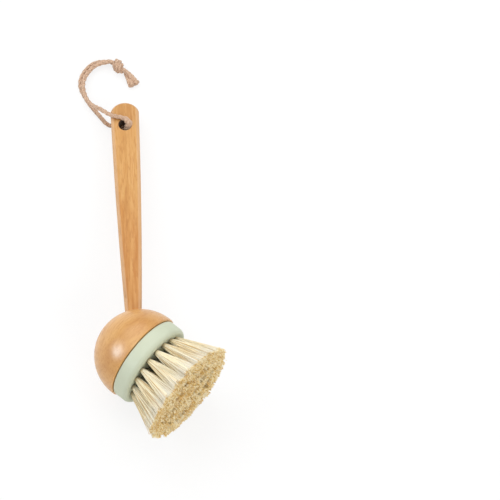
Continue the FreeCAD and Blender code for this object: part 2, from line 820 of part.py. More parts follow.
def make_all():
    aside = num["knot_strand_offset"]
    pieces = [
        make_dome(),
        make_handle(),
        make_brush_plate(),
        make_twist_socket(),
        make_socket_screw(),
        make_tuft_anchors(),
    ]
    pieces += [make_tuft(*place) for place in tuft_places()]
    pieces += [
        make_twine("twine_front", strand_route(FRONT_ROUTE, -aside)),
        make_twine("twine_back", strand_route(BACK_ROUTE, aside)),
        make_twine_knot(),
        make_twine("twine_tail_left", tail_route(LEFT_TAIL_ROUTE, aside)),
        make_twine("twine_tail_right", tail_route(RIGHT_TAIL_ROUTE, -aside)),
    ]
    doc.recompute()
    return pieces


def check(pieces):
    for obj in doc.Objects:
        if "Invalid" in obj.State or "Error" in obj.State:
            raise RuntimeError(f"{obj.Name} failed: {obj.State}")
    for piece in pieces:
        if piece.Shape.isNull() or not piece.Shape.isValid() or not piece.Shape.Solids:
            raise RuntimeError(f"{piece.Label} has no valid solid")


def write(pieces):
    os.makedirs("parts", exist_ok=True)
    for piece in pieces:
        piece.Shape.exportStep(f"parts/{piece.Label}.step")


pieces = make_all()
check(pieces)
write(pieces)
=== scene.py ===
import json
import math
import random

import bpy
from mathutils import Euler, Matrix, Vector


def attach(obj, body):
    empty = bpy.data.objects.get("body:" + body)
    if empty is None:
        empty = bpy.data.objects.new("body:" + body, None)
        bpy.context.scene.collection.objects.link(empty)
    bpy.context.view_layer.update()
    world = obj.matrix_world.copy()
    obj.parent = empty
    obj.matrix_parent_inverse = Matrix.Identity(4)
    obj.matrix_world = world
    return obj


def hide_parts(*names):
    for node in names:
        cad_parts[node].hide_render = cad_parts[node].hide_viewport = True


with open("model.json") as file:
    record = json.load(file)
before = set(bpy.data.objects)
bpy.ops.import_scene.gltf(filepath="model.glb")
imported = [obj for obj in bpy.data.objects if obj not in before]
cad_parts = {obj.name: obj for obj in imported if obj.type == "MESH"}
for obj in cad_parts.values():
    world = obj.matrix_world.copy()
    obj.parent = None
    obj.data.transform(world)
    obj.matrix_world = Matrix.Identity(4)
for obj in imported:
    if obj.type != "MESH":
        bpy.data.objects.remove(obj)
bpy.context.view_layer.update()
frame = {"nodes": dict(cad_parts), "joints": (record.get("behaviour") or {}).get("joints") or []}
scene = bpy.context.scene
scene.view_settings.view_transform = "Standard"

# Lengths are in metres. The head's frame has its origin in the middle of the dome's ball, Z out through
# the bristles and Y opposite to the handle's face. The handle's frame has its origin in the middle of
# the hole, X across the handle, Y towards its tip and Z out of its face.
joints = {joint["name"]: joint for joint in frame["joints"]}
BALL = Vector(joints["head_twist"]["pos_m"])
HEAD_AXIS = Vector(joints["head_twist"]["axis"]).normalized()
HOLE = Vector(joints["loop_swing"]["pos_m"])
FACE_NORMAL = Vector(joints["loop_swing"]["axis"]).normalized()
HANDLE_ANGLE = math.radians(46.0)


def axes_matrix(x_axis, y_axis, z_axis, origin):
    turn = Matrix((x_axis, y_axis, z_axis)).transposed().to_4x4()
    return Matrix.Translation(origin) @ turn


head_x = HEAD_AXIS.cross(FACE_NORMAL).normalized()
head_y = HEAD_AXIS.cross(head_x)
HEAD = axes_matrix(head_x, head_y, HEAD_AXIS, BALL)
to_tip = -(head_x * math.sin(HANDLE_ANGLE) + HEAD_AXIS * math.cos(HANDLE_ANGLE))
across = to_tip.cross(FACE_NORMAL)
HANDLE = axes_matrix(across, to_tip, FACE_NORMAL, HOLE)

# The camera that the photograph's view was matched with. Its angles are in degrees.
LENS_MM = 204.02
SENSOR_MM = 36.0
CAMERA_PLACE = (-0.15540, -0.72797, 1.91711)
CAMERA_ANGLES = (21.473, -5.691, -2.713)


def make_camera():
    data = bpy.data.cameras.new("camera")
    data.lens = LENS_MM
    data.sensor_width = SENSOR_MM
    camera = bpy.data.objects.new("camera", data)
    camera.location = CAMERA_PLACE
    camera.rotation_euler = Euler([math.radians(angle) for angle in CAMERA_ANGLES])
    scene.collection.objects.link(camera)
    scene.camera = camera


make_camera()


def linear(red, green, blue):
    """A colour given in the usual 0 to 255 screen values, turned linear by the sRGB curve."""
    parts = []
    for value in (red, green, blue):
        share = value / 255
        parts.append(share / 12.92 if share <= 0.04045 else ((share + 0.055) / 1.055) ** 2.4)
    return (*parts, 1.0)


class Nodes:
    """Short calls for building one material's nodes."""

    # Where a mix node for colours has its share, its two colours and its result.
    MIX_INPUTS = (0, 6, 7)
    MIX_OUTPUT = 2

    def __init__(self, name):
        self.material = bpy.data.materials.new(name)
        self.material.use_nodes = True
        self.tree = self.material.node_tree
        self.shader = self.tree.nodes["Principled BSDF"]

    def put(self, value, socket):
        """Links a node's output to the socket, or sets the socket to a plain value."""
        if isinstance(value, bpy.types.NodeSocket):
            self.tree.links.new(value, socket)
        else:
            socket.default_value = value

    def add(self, kind, inputs=None, **settings):
        node = self.tree.nodes.new(f"ShaderNode{kind}")
        for name, value in settings.items():
            setattr(node, name, value)
        for name, value in (inputs or {}).items():
            self.put(value, node.inputs[name])
        return node

    def scaled(self, vector, scale):
        return self.add("Mapping", {"Vector": vector, "Scale": scale}).outputs[0]

    def local(self, matrix, scale):
        """Object coordinates in another frame, times scale."""
        inputs = {
            "Vector": self.add("TexCoord").outputs["Object"],
            "Location": matrix.to_translation(),
            "Rotation": matrix.to_euler(),
        }
        return self.scaled(self.add("Mapping", inputs, vector_type="TEXTURE").outputs[0], scale)

    def place(self, matrix):
        """The three coordinates in another frame, in metres."""
        return self.add("SeparateXYZ", {0: self.local(matrix, scale=(1, 1, 1))}).outputs

    def noise(self, vector, detail=4.0, rough=0.55):
        inputs = {"Vector": vector, "Scale": 1.0, "Detail": detail, "Roughness": rough}
        return self.add("TexNoise", inputs).outputs[0]

    def ramp(self, value, stops):
        node = self.add("ValToRGB", {"Fac": value})
        elements = node.color_ramp.elements
        while len(elements) < len(stops):
            elements.new(0.5)
        for element, (place, colour) in zip(elements, stops):
            element.position = place
            element.color = colour
        return node.outputs[0]

    def mask(self, value, start, full):
        """0 at start and before it, 1 at full and past it, and smooth between."""
        inputs = {"Value": value, "From Min": start, "From Max": full}
        return self.add("MapRange", inputs, interpolation_type="SMOOTHSTEP").outputs[0]

    def mix(self, share, first, second, blend="MIX"):
        node = self.add("Mix", data_type="RGBA", blend_type=blend)
        for index, value in zip(self.MIX_INPUTS, (share, first, second)):
            self.put(value, node.inputs[index])
        return node.outputs[self.MIX_OUTPUT]

    def math(self, operation, first, second=0.0):
        return self.add("Math", {0: first, 1: second}, operation=operation).outputs[0]

    def mix_part(self, colour, other, share, most_share):
        """Mixes in another colour by a share, times the most that it may reach."""
        return self.mix(self.math("MULTIPLY", share, most_share), colour, other)

    def tint(self, colour, other, where, start, full, most_share):
        """Mixes in another colour by a mask of a value, up to a share of it."""
        return self.mix_part(colour, other, self.mask(where, start, full), most_share)

    def facing(self, direction):
        """How much the surface faces a fixed direction of the part."""
        normal = self.add("NewGeometry").outputs["Normal"]
        node = self.add("VectorMath", {0: normal, 1: direction}, operation="DOT_PRODUCT")
        return node.outputs["Value"]

    def finish(self, colour, roughness, **fixed):
        """Sets the shader's colour, its roughness and any inputs whose names are given with underscores."""
        self.put(colour, self.shader.inputs["Base Color"])
        self.put(roughness, self.shader.inputs["Roughness"])
        for name, value in fixed.items():
            self.put(value, self.shader.inputs[name.replace("_", " ")])
        return self.material

    def bump(self, height, depth, strength):
        """The shader inputs that raise the surface and its coat by up to a depth."""
        inputs = {"Height": height, "Distance": depth, "Strength": strength}
        normal = self.add("Bump", inputs).outputs[0]
        return {"Normal": normal, "Coat_Normal": normal}


# The handle's sizes, as in the part.
HANDLE_REACH = 0.2060
HANDLE_ROOT_REACH = 0.0180
HANDLE_END_RISE = 0.0077
HANDLE_ROOT_WIDTH = 0.0103
HANDLE_END_WIDTH = 0.0209
HANDLE_SIDE_BULGE = 0.00088
HOLE_SETBACK = 0.0192
HOLE_RADIUS = 0.0048

HANDLE_RUN = HANDLE_REACH - HANDLE_ROOT_REACH - HANDLE_END_RISE
ROOT_TO_HOLE = HANDLE_REACH - HANDLE_ROOT_REACH - HOLE_SETBACK
HANDLE_HALF_GAIN = (HANDLE_END_WIDTH - HANDLE_ROOT_WIDTH) / 2

# Where the handle's colour changes, measured from the hole or in from the handle's sides, and its shades.
STREAK_ASIDE = 0.0035
STREAK_REACH = 0.0036
STREAK_CORE = 0.0004
LOW_END_START = -0.045
LOW_END_FULL = -0.105
TIP_END_START = -0.006
TIP_END_FULL = 0.008
# The painted highlight along the handle's edges starts and is full this far in from the sides.
EDGE_LIGHT_START = 0.0030
EDGE_LIGHT_FULL = 0.0016
# The painted shade on the hole's wall reaches this far past the hole's radius.
HOLE_SHADE_REACH = 0.0004
LOW_END_SHADE = (0.91, 0.80, 0.67, 1.0)
TIP_END_SHADE = (0.90, 0.88, 0.88, 1.0)


def handle_half_width(nodes, along):
    """Half the handle's width at a place along it: a straight taper with a bulge."""
    share = nodes.math("DIVIDE", nodes.math("ADD", along, ROOT_TO_HOLE), HANDLE_RUN)
    off_middle = nodes.math("SUBTRACT", nodes.math("MULTIPLY", share, 2.0), 1.0)
    dip = nodes.math("MULTIPLY", nodes.math("MULTIPLY", off_middle, off_middle), HANDLE_SIDE_BULGE)
    bulge = nodes.math("SUBTRACT", HANDLE_SIDE_BULGE, dip)
    taper = nodes.math("ADD", nodes.math("MULTIPLY", share, HANDLE_HALF_GAIN), HANDLE_ROOT_WIDTH / 2)
    return nodes.math("ADD", taper, bulge)


def handle_wood():
    """Straight-grained bamboo: long fine fibres and short dark dashes, with paler edges as a painted
    highlight and a hole wall darkened as painted shade.
    """
    nodes = Nodes("handle_wood")
    fibres = nodes.noise(nodes.local(HANDLE, scale=(700, 45, 300)), detail=5, rough=0.65)
    streaks = nodes.noise(nodes.local(HANDLE, scale=(320, 28, 120)), detail=4, rough=0.6)
    dashes = nodes.noise(nodes.local(HANDLE, scale=(1000, 150, 300)), detail=2, rough=0.5)
    x, y, _ = nodes.place(HANDLE)
    colour = nodes.ramp(
        streaks,
        [(0.30, linear(190, 130, 60)), (0.50, linear(207, 153, 83)), (0.70, linear(220, 173, 107))],
    )
    colour = nodes.tint(colour, linear(194, 130, 62), fibres, start=0.46, full=0.70, most_share=0.65)
    colour = nodes.tint(colour, linear(182, 120, 56), dashes, start=0.54, full=0.68, most_share=0.5)

    off_streak = nodes.math("ABSOLUTE", nodes.math("SUBTRACT", x, STREAK_ASIDE))
    near_streak = nodes.mask(off_streak, STREAK_REACH, STREAK_CORE)
    dark_streak = nodes.math("MULTIPLY", near_streak, nodes.mask(fibres, start=0.35, full=0.6))
    colour = nodes.mix_part(colour, linear(196, 132, 64), dark_streak, most_share=0.5)

    low_end = nodes.mask(y, LOW_END_START, LOW_END_FULL)
    colour = nodes.mix(low_end, colour, LOW_END_SHADE, blend="MULTIPLY")
    tip_end = nodes.mask(y, TIP_END_START, TIP_END_FULL)
    colour = nodes.mix(tip_end, colour, TIP_END_SHADE, blend="MULTIPLY")

    # Painted highlight: the rounded edges, where the surface turns from the face, and a band in from the
    # sides are made paler, standing in for light on the edges.
    turned_away = nodes.mask(nodes.math("ABSOLUTE", nodes.facing(FACE_NORMAL)), start=0.993, full=0.88)
    inset = nodes.math("SUBTRACT", handle_half_width(nodes, y), nodes.math("ABSOLUTE", x))
    painted_edge_light = nodes.math("MAXIMUM", turned_away, nodes.mask(inset, EDGE_LIGHT_START, EDGE_LIGHT_FULL))
    colour = nodes.mix_part(colour, linear(212, 170, 127), painted_edge_light, most_share=0.75)

    # Painted shade: the wood round the hole's axis, its wall, is painted dark brown as the shade inside the
    # hole.
    flat_place = nodes.add("CombineXYZ", {0: x, 1: y}).outputs[0]
    off_axis = nodes.add("VectorMath", {0: flat_place}, operation="LENGTH").outputs["Value"]
    painted_hole_shade = linear(62, 36, 20)
    colour = nodes.tint(colour, painted_hole_shade, off_axis, HOLE_RADIUS + HOLE_SHADE_REACH, HOLE_RADIUS, most_share=0.9)

    rough = nodes.mask(fibres, start=-0.6, full=1.6)
    relief = nodes.bump(fibres, depth=0.00005, strength=0.35)
    return nodes.finish(colour, rough, Specular_IOR_Level=0.4, **relief)


# How far the dome's growth rings lean and wander, and their rate in radians to the metre.
RING_LEAN_SHARE = 0.55
RING_WANDER = 0.012
RING_RATE = 620.0


def dome_wood():
    """Turned beech: faint growth rings cut by the ball, with short dark flecks along the grain."""
    nodes = Nodes("dome_wood")
    flecks = nodes.noise(nodes.local(HEAD, scale=(260, 1500, 1100)), detail=3, rough=0.6)
    lines = nodes.noise(nodes.local(HEAD, scale=(40, 700, 520)), detail=4, rough=0.6)
    warp = nodes.noise(nodes.local(HEAD, scale=(22, 40, 40)), detail=2)
    clouds = nodes.noise(nodes.local(HEAD, scale=(30, 60, 60)), detail=3)
    _, y, z = nodes.place(HEAD)
    depth = nodes.math("ADD", nodes.math("MULTIPLY", y, RING_LEAN_SHARE), z)
    depth = nodes.math("ADD", depth, nodes.math("MULTIPLY", warp, RING_WANDER))
    rings = nodes.math("ABSOLUTE", nodes.math("SINE", nodes.math("MULTIPLY", depth, RING_RATE)))
    colour = nodes.ramp(
        clouds,
        [(0.30, linear(204, 148, 83)), (0.50, linear(216, 164, 98)), (0.72, linear(224, 177, 115))],
    )
    colour = nodes.tint(colour, linear(196, 134, 74), rings, start=0.5, full=1.0, most_share=0.10)
    colour = nodes.tint(colour, linear(192, 128, 68), lines, start=0.46, full=0.70, most_share=0.45)
    colour = nodes.tint(colour, linear(184, 122, 66), flecks, start=0.52, full=0.68, most_share=0.35)
    rough = nodes.mask(lines, start=-0.55, full=1.9)
    gloss = {"Specular_IOR_Level": 0.25, "Coat_Weight": 0.5, "Coat_Roughness": 0.26}
    relief = nodes.bump(lines, depth=0.00005, strength=0.35)
    return nodes.finish(colour, rough, **gloss, **relief)


def moulded_plastic(name, colour, shade):
    """Satin moulded plastic with a faint mottle and a fine skin."""
    nodes = Nodes(name)
    mottle = nodes.noise(nodes.local(HEAD, scale=(70, 70, 70)), detail=3)
    skin = nodes.noise(nodes.local(HEAD, scale=(2200, 2200, 2200)), detail=2)
    mottled = nodes.tint(colour, shade, mottle, start=0.35, full=0.75, most_share=0.4)
    rough = nodes.mask(mottle, start=-1.0, full=1.8)
    relief = nodes.bump(skin, depth=0.00002, strength=0.2)
    return nodes.finish(mottled, rough, Specular_IOR_Level=0.45, **relief)


def plain_steel():
    """Drawn steel with fine scratches."""
    nodes = Nodes("steel")
    scratches = nodes.noise(nodes.local(HEAD, scale=(200, 200, 3000)), detail=3)
    colour = nodes.ramp(scratches, [(0.3, linear(150, 150, 150)), (0.7, linear(190, 190, 188))])
    rough = nodes.mask(scratches, start=-0.4, full=1.6)
    relief = nodes.bump(scratches, depth=0.00002, strength=0.2)
    return nodes.finish(colour, rough, Metallic=1.0, **relief)


def fibre_material():
    """Cut plant fibre: cream sides, tinted one by one, paler towards the tip as painted light, darker at
    the root as painted shade, and golden at the cut.
    """
    nodes = Nodes("fibre")
    uv = nodes.add("UVMap", uv_map="fibre").outputs[0]
    along, across_map, _ = nodes.add("SeparateXYZ", {0: uv}).outputs
    tint = nodes.math("FRACT", across_map)
    fine = nodes.noise(nodes.local(HEAD, scale=(900, 900, 120)), detail=3)
    patches = nodes.noise(nodes.local(HEAD, scale=(130, 130, 130)), detail=4, rough=0.65)

    sides = nodes.ramp(
        tint,
        [
            (0.0, linear(214, 180, 118)),
            (0.18, linear(253, 236, 192)),
            (0.75, linear(255, 249, 226)),
            (1.0, linear(246, 228, 182)),
        ],
    )
    sides = nodes.tint(sides, linear(234, 212, 168), fine, start=0.5, full=0.75, most_share=0.15)
    # Painted light: the sides turn paler towards the tips, standing in for the light that falls most
    # strongly there.
    sides = nodes.tint(sides, linear(255, 252, 242), along, start=0.55, full=0.92, most_share=0.55)
    # Painted shade: the fibres turn darker towards their roots, where the tufts shade each other near the
    # plate.
    sides = nodes.mix(nodes.mask(along, start=0.15, full=0.04), sides, linear(222, 196, 140))

    cut = nodes.ramp(
        tint,
        [(0.0, linear(208, 168, 88)), (0.35, linear(240, 215, 152)), (1.0, linear(254, 244, 212))],
    )
    cut = nodes.tint(cut, linear(214, 166, 74), patches, start=0.50, full=0.64, most_share=0.6)
    cut = nodes.tint(cut, linear(255, 246, 220), patches, start=0.47, full=0.36, most_share=0.45)

    colour = nodes.mix(nodes.mask(along, start=0.95, full=0.985), sides, cut)
    rough = nodes.mask(fine, start=-1.2, full=1.1)
    sheen = {"Sheen_Weight": 0.5, "Sheen_Roughness": 0.5, "Sheen_Tint": linear(254, 246, 226)}
    relief = nodes.bump(fine, depth=0.00002, strength=0.2)
    return nodes.finish(colour, rough, Specular_IOR_Level=0.3, **sheen, **relief)


def twine_material():
    """Jute: pale pinkish-brown plies with fine fibre lines running along them."""
    nodes = Nodes("twine")
    uv = nodes.add("UVMap", uv_map="twine").outputs[0]
    lines = nodes.noise(nodes.scaled(uv, (7, 24, 1)), detail=5, rough=0.65)
    patches = nodes.noise(nodes.scaled(uv, (2.5, 2, 1)), detail=3)
    colour = nodes.ramp(
        lines,
        [(0.30, linear(138, 100, 74)), (0.46, linear(196, 160, 132)), (0.68, linear(228, 204, 181))],
    )
    colour = nodes.tint(colour, linear(222, 194, 168), patches, start=0.45, full=0.75, most_share=0.3)
    relief = nodes.bump(lines, depth=0.0002, strength=0.6)
    return nodes.finish(colour, roughness=0.9, Specular_IOR_Level=0.2, Sheen_Weight=0.2, **relief)


FIBRE = fibre_material()
TWINE = twine_material()


def above_table(point, clearance=0.0):
    """The point, lifted where it would lie lower than the clearance above the table."""
    return Vector((point.x, point.y, max(point.z, clearance)))


class Form:
    """Collects one piece's points, faces and map before its mesh is made."""

    def __init__(self):
        self.points = []
        self.faces = []
        self.map = []

    def tube(self, rings, marks):
        """Joins rings of points into a closed tube.

        A ring's mark is its place along the map, its first point's place across the map and the step
        from one point to the next.
        """
        sides = len(rings[0])
        first = len(self.points)
        for points in rings:
            self.points.extend(above_table(point) for point in points)
        for i in range(len(rings) - 1):
            low = first + i * sides
            high = low + sides
            u_low, v_start, v_step = marks[i]
            u_high = marks[i + 1][0]
            for k in range(sides):
                after = (k + 1) % sides
                v = v_start + v_step * k
                v_after = v_start + v_step * (k + 1)
                self.faces.append((low + k, low + after, high + after, high + k))
                self.map.extend([(u_low, v), (u_low, v_after), (u_high, v_after), (u_high, v)])
        last = first + (len(rings) - 1) * sides
        for base, mark, step in ((first, marks[0], -1), (last, marks[-1], 1)):
            self.faces.append(tuple(base + k for k in range(sides))[::step])
            self.map.extend([mark[:2]] * sides)

    def piece(self, name, map_name, material, body, slot, *nodes):
        mesh = bpy.data.meshes.new(name)
        mesh.from_pydata(self.points, [], self.faces)
        layer = mesh.uv_layers.new(name=map_name)
        layer.data.foreach_set("uv", [value for pair in self.map for value in pair])
        mesh.polygons.foreach_set("use_smooth", [True] * len(mesh.polygons))
        mesh.materials.append(material)
        mesh.update()
        piece = bpy.data.objects.new(name, mesh)
        scene.collection.objects.link(piece)
        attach(piece, body)
        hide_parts(*nodes)
        return piece


def ring(centre, side, up, radius, count, start=0.0):
    turns = [start + math.tau * k / count for k in range(count)]
    return [centre + (side * math.cos(turn) + up * math.sin(turn)) * radius for turn in turns]


# A direction is steep where it rises or falls by at least this share of its length.
STEEP_SHARE = 0.8


def any_side(direction):
    """Some direction square to this one."""
    steep = abs(direction.z) >= STEEP_SHARE
    helper = Vector((1, 0, 0)) if steep else Vector((0, 0, 1))
    return direction.cross(helper).normalized()


def carried_frames(points):
    """A tangent and two side directions at each point, turning no more than the line does."""
    frames = []
    side = None
    for i in range(len(points)):
        tangent = (points[min(i + 1, len(points) - 1)] - points[max(i - 1, 0)]).normalized()
        if side is None:
            side = any_side(tangent)
        side = (side - tangent * side.dot(tangent)).normalized()
        frames.append((tangent, side, tangent.cross(side)))
    return frames


LINE_STEPS = 14
LINE_ORDER = 3


def smooth_line(points):
    """The points of a smooth line that has the route's points as its control points."""
    data = bpy.data.curves.new("route", "CURVE")
    data.dimensions = "3D"
    data.resolution_u = LINE_STEPS
    spline = data.splines.new("NURBS")
    spline.points.add(len(points) - 1)
    for control, point in zip(spline.points, points):
        control.co = (*point, 1.0)
    spline.order_u = LINE_ORDER
    spline.use_endpoint_u = True
    holder = bpy.data.objects.new("route", data)
    line = bpy.data.meshes.new_from_object(holder)
    result = [vertex.co.copy() for vertex in line.vertices]
    bpy.data.objects.remove(holder)
    bpy.data.curves.remove(data)
    bpy.data.meshes.remove(line)
    return result


# The twine's plies. A wobble is a share of a ply's girth, its rate along the twine and its shift by ply.
TWINE_RADIUS = 0.00165
TWIST_PITCH = 0.0125
TAIL_TWIST_PITCH = 0.035
PLY_COUNT = 3
PLY_SIDE_COUNT = 10
PLY_ASIDE_SHARE = 0.38
PLY_RADIUS_SHARE = 0.62
WOBBLES = ((0.08, 2100, 2.1), (0.05, 5300, 1.0))

# The twine's map: metres of twine to one unit along it, the step from ply to ply, and where hairs lie.
MAP_RUN = 0.01
PLY_MAP_STEP = 0.37
HAIR_MARK = 0.5
HAIR_MARK_STEP = 0.02

# The loose hairs that stand off the twine.
HAIR_RING_COUNT = 4
HAIR_SIDE_COUNT = 3
HAIR_RADIUS = 0.00005
HAIR_LENGTHS = (0.0008, 0.0020)
HAIR_LEANS = (0.25, 0.8)
HAIR_BENDS = (0.0, 0.5)
HAIR_ROOT_SHARE = 0.8
HAIR_TAPER_SHARE = 0.6
HAIRS_PER_MM = 2.2
TAIL_HAIRS_PER_MM = 2.0
WRAP_HAIRS_PER_MM = 1.0
CORE_HAIRS_PER_MM = 0.3
MM_PER_METRE = 1000


def hair(form, root, direction, length, radius, bend):
    """One loose fibre of the twine, bending as it leaves."""
    side = any_side(direction)
    up = direction.cross(side)
    rings = []
    marks = []
    for i in range(HAIR_RING_COUNT):
        share = i / (HAIR_RING_COUNT - 1)
        centre = above_table(root + direction * length * share + bend * length * share * share, radius)
        rings.append(ring(centre, side, up, radius * (1 - HAIR_TAPER_SHARE * share), HAIR_SIDE_COUNT))
        marks.append((share, HAIR_MARK, HAIR_MARK_STEP))
    form.tube(rings, marks)


def lay_ply(form, points, frames, girths, runs, ply, first_turn, pitch):
    """One ply, winding round the line beside its neighbours."""
    rings = []
    marks = []
    for point, (_, side, up), girth, run in zip(points, frames, girths, runs):
        turn = first_turn + math.tau * (run / pitch + ply / PLY_COUNT)
        wobble = 1 + sum(share * math.sin(run * rate + ply * shift) for share, rate, shift in WOBBLES)
        centre = point + (side * math.cos(turn) + up * math.sin(turn)) * girth * PLY_ASIDE_SHARE
        radius = girth * PLY_RADIUS_SHARE * wobble
        rings.append(ring(centre, side, up, radius, PLY_SIDE_COUNT, turn))
        marks.append((run / MAP_RUN, ply * PLY_MAP_STEP, 1 / PLY_SIDE_COUNT))
    form.tube(rings, marks)


def lay_strand(form, points, rng, hairs_per_mm, first_turn=0.0, girth_at=None, pitch=TWIST_PITCH):
    """Three plies twisted round a line, with loose hairs along it. girth_at swells it by place."""
    frames = carried_frames(points)
    runs = [0.0]
    for before, point in zip(points, points[1:]):
        runs.append(runs[-1] + (point - before).length)
    length = runs[-1]
    girths = [TWINE_RADIUS * (girth_at(run, length) if girth_at else 1.0) for run in runs]
    for ply in range(PLY_COUNT):
        lay_ply(form, points, frames, girths, runs, ply, first_turn, pitch)
    for _ in range(int(length * MM_PER_METRE * hairs_per_mm)):
        i = rng.randrange(1, len(points) - 1)
        tangent, side, up = frames[i]
        turn = rng.uniform(0, math.tau)
        out = side * math.cos(turn) + up * math.sin(turn)
        lean = (out * rng.uniform(*HAIR_LEANS) + tangent * rng.choice((-1, 1))).normalized()
        root = points[i] + out * TWINE_RADIUS * HAIR_ROOT_SHARE
        bend = -out * rng.uniform(*HAIR_BENDS)
        hair(form, root, lean, rng.uniform(*HAIR_LENGTHS), HAIR_RADIUS, bend)


def loosened(most, until, over):
    """The twine is squeezed open where it turns through the hole, and closes again past it."""

    def girth_at(run, length):
        share = min(max((run - until) / over, 0.0), 1.0)
        return most - (most - 1) * share * share * (3 - 2 * share)

    return girth_at


# How a tail thickens, and how its end is rounded.
TAIL_SWELL_SHARE = 0.75
TAIL_SWELL_POWER = 1.6
TAIL_END_ROUND = 0.0016
TAIL_END_SHARE = 0.35


def clubbed_end(run, length):
    """A tail unlays and thickens to its end, which is rounded off."""
    swell = 1 + TAIL_SWELL_SHARE * (run / length) ** TAIL_SWELL_POWER
    left = min((length - run) / TAIL_END_ROUND, 1.0)
    return swell * (TAIL_END_SHARE + (1 - TAIL_END_SHARE) * math.sqrt(1 - (1 - left) ** 2))


# The twine's routes, measured from the middle of the handle's hole, and the knot that closes them.
FRONT_ROUTE = [
    (0.0014, -0.0006, 0.0002), (0.0024, -0.0002, 0.0035), (0.0020, 0.0024, 0.0062),
    (-0.0013, 0.0050, 0.0064), (-0.0052, 0.0063, 0.0058), (-0.0088, 0.0070, 0.0053),
    (-0.0124, 0.0090, 0.0047), (-0.0157, 0.0115, 0.0042), (-0.0192, 0.0142, 0.0034),
    (-0.0222, 0.0169, 0.0005), (-0.0249, 0.0200, -0.0022), (-0.0270, 0.0238, -0.0040),
    (-0.0285, 0.0278, -0.0051), (-0.0295, 0.0321, -0.0057), (-0.0300, 0.0364, -0.0061),
    (-0.0294, 0.0410, -0.0064), (-0.0274, 0.0457, -0.0068), (-0.0243, 0.0500, -0.0070),
    (-0.0204, 0.0537, -0.0069), (-0.0161, 0.0553, -0.0064), (-0.0121, 0.0556, -0.0054),
]
BACK_ROUTE = [
    (0.0018, -0.0004, 0.0002), (0.0021, -0.0010, -0.0031), (0.0015, -0.0002, -0.0061),
    (-0.0013, 0.0025, -0.0080), (-0.0054, 0.0054, -0.0088), (-0.0096, 0.0054, -0.0088),
    (-0.0130, 0.0066, -0.0088), (-0.0156, 0.0099, -0.0088), (-0.0186, 0.0140, -0.0088),
    (-0.0216, 0.0178, -0.0088), (-0.0245, 0.0217, -0.0088), (-0.0271, 0.0259, -0.0088),
    (-0.0292, 0.0300, -0.0088), (-0.0309, 0.0338, -0.0088), (-0.0319, 0.0379, -0.0088),
    (-0.0316, 0.0421, -0.0088), (-0.0301, 0.0465, -0.0088), (-0.0269, 0.0514, -0.0088),
    (-0.0228, 0.0553, -0.0088), (-0.0186, 0.0571, -0.0088), (-0.0148, 0.0575, -0.0086),
    (-0.0117, 0.0572, -0.0082),
]
LEFT_TAIL_ROUTE = [(0.0027, 0.0468, -0.0082), (0.0044, 0.0422, -0.0083), (0.0069, 0.0370, -0.0078)]
RIGHT_TAIL_ROUTE = [(0.0039, 0.0465, -0.0055), (0.0074, 0.0430, -0.0075), (0.0107, 0.0389, -0.0085)]
KNOT_CENTRE = (-0.0034, 0.0527, -0.0061)
KNOT_HEADING = Matrix.Rotation(math.radians(-36.0), 4, "Z")
KNOT_ROLL = Matrix.Rotation(math.radians(-70.0), 4, "X")
KNOT_LENGTH = 0.0094
KNOT_LEAD = 0.0024
TAIL_LEAD_SHARE = 0.75
STRAND_ASIDE = 0.00155
KNOT = Matrix.Translation(HOLE + Vector(KNOT_CENTRE)) @ KNOT_HEADING @ KNOT_ROLL

# The knot's wraps: how far they wind, bulge and slant, and the strands that run through them.
WRAP_STEP_COUNT = 60
WRAP_TURNS = 1.3
WRAP_LEAST_REACH = 0.0012
WRAP_BULGE = 0.0022
WRAP_BULGE_POWER = 0.4
WRAP_SLANT = 0.0013
CORE_STEP_COUNT = 10
CORE_ASIDE_SHARE = 0.9

# The cut fibres at a tail's end.
FRAY_COUNT = 90
FRAY_RADIUS = 0.00013
FRAY_DEPTH = 0.0022
FRAY_WIDTH_SHARE = 1.45
FRAY_SPREAD_SHARE = 0.12
FRAY_LOWEST_LEAN = -0.02
FRAY_LENGTH = 0.0012
FRAY_CROWN = 0.0014
FRAY_LENGTH_SHARES = (0.85, 1.1)
FRAY_CLEARANCE = 0.0002


def at_knot(along, aside, height=0.0):
    return KNOT @ Vector((along, aside, height))


def from_hole(route):
    return [HOLE + Vector(point) for point in route]


def twine_piece(form, name, node):
    return form.piece(name, "twine", TWINE, "hanging_loop", "twine", node)


def make_strand(name, node, route, aside, seed, girth_at):
    """A strand from the middle of the hole into the knot."""
    lead = [at_knot(-KNOT_LENGTH / 2 - KNOT_LEAD, aside), at_knot(-KNOT_LENGTH / 2, aside)]
    line = smooth_line(from_hole(route) + lead)
    form = Form()
    lay_strand(form, line, random.Random(seed), HAIRS_PER_MM, girth_at=girth_at)
    return twine_piece(form, name, node), line


def make_tail(name, node, route, aside, seed):
    """A tail that leaves the knot and ends in a cut, frayed brush of fibres."""
    tail_lead = KNOT_LEAD * TAIL_LEAD_SHARE
    lead = [at_knot(KNOT_LENGTH / 2, aside), at_knot(KNOT_LENGTH / 2 + tail_lead, aside)]
    line = smooth_line(lead + from_hole(route))
    rng = random.Random(seed)
    form = Form()
    lay_strand(form, line, rng, TAIL_HAIRS_PER_MM, girth_at=clubbed_end, pitch=TAIL_TWIST_PITCH)
    tangent, side, up = carried_frames(line)[-1]
    for _ in range(FRAY_COUNT):
        turn = rng.uniform(0, math.tau)
        spread = math.sqrt(rng.random())
        out = side * math.cos(turn) + up * math.sin(turn)
        root = line[-1] - tangent * FRAY_DEPTH + out * spread * TWINE_RADIUS * FRAY_WIDTH_SHARE
        lean = (tangent + out * spread * FRAY_SPREAD_SHARE).normalized()
        lean.z = max(lean.z, FRAY_LOWEST_LEAN)
        reach = FRAY_LENGTH + FRAY_CROWN * math.sqrt(1 - spread * spread)
        length = reach * rng.uniform(*FRAY_LENGTH_SHARES)
        hair(form, above_table(root, FRAY_CLEARANCE), lean, length, FRAY_RADIUS, bend=Vector())
    return twine_piece(form, name, node)


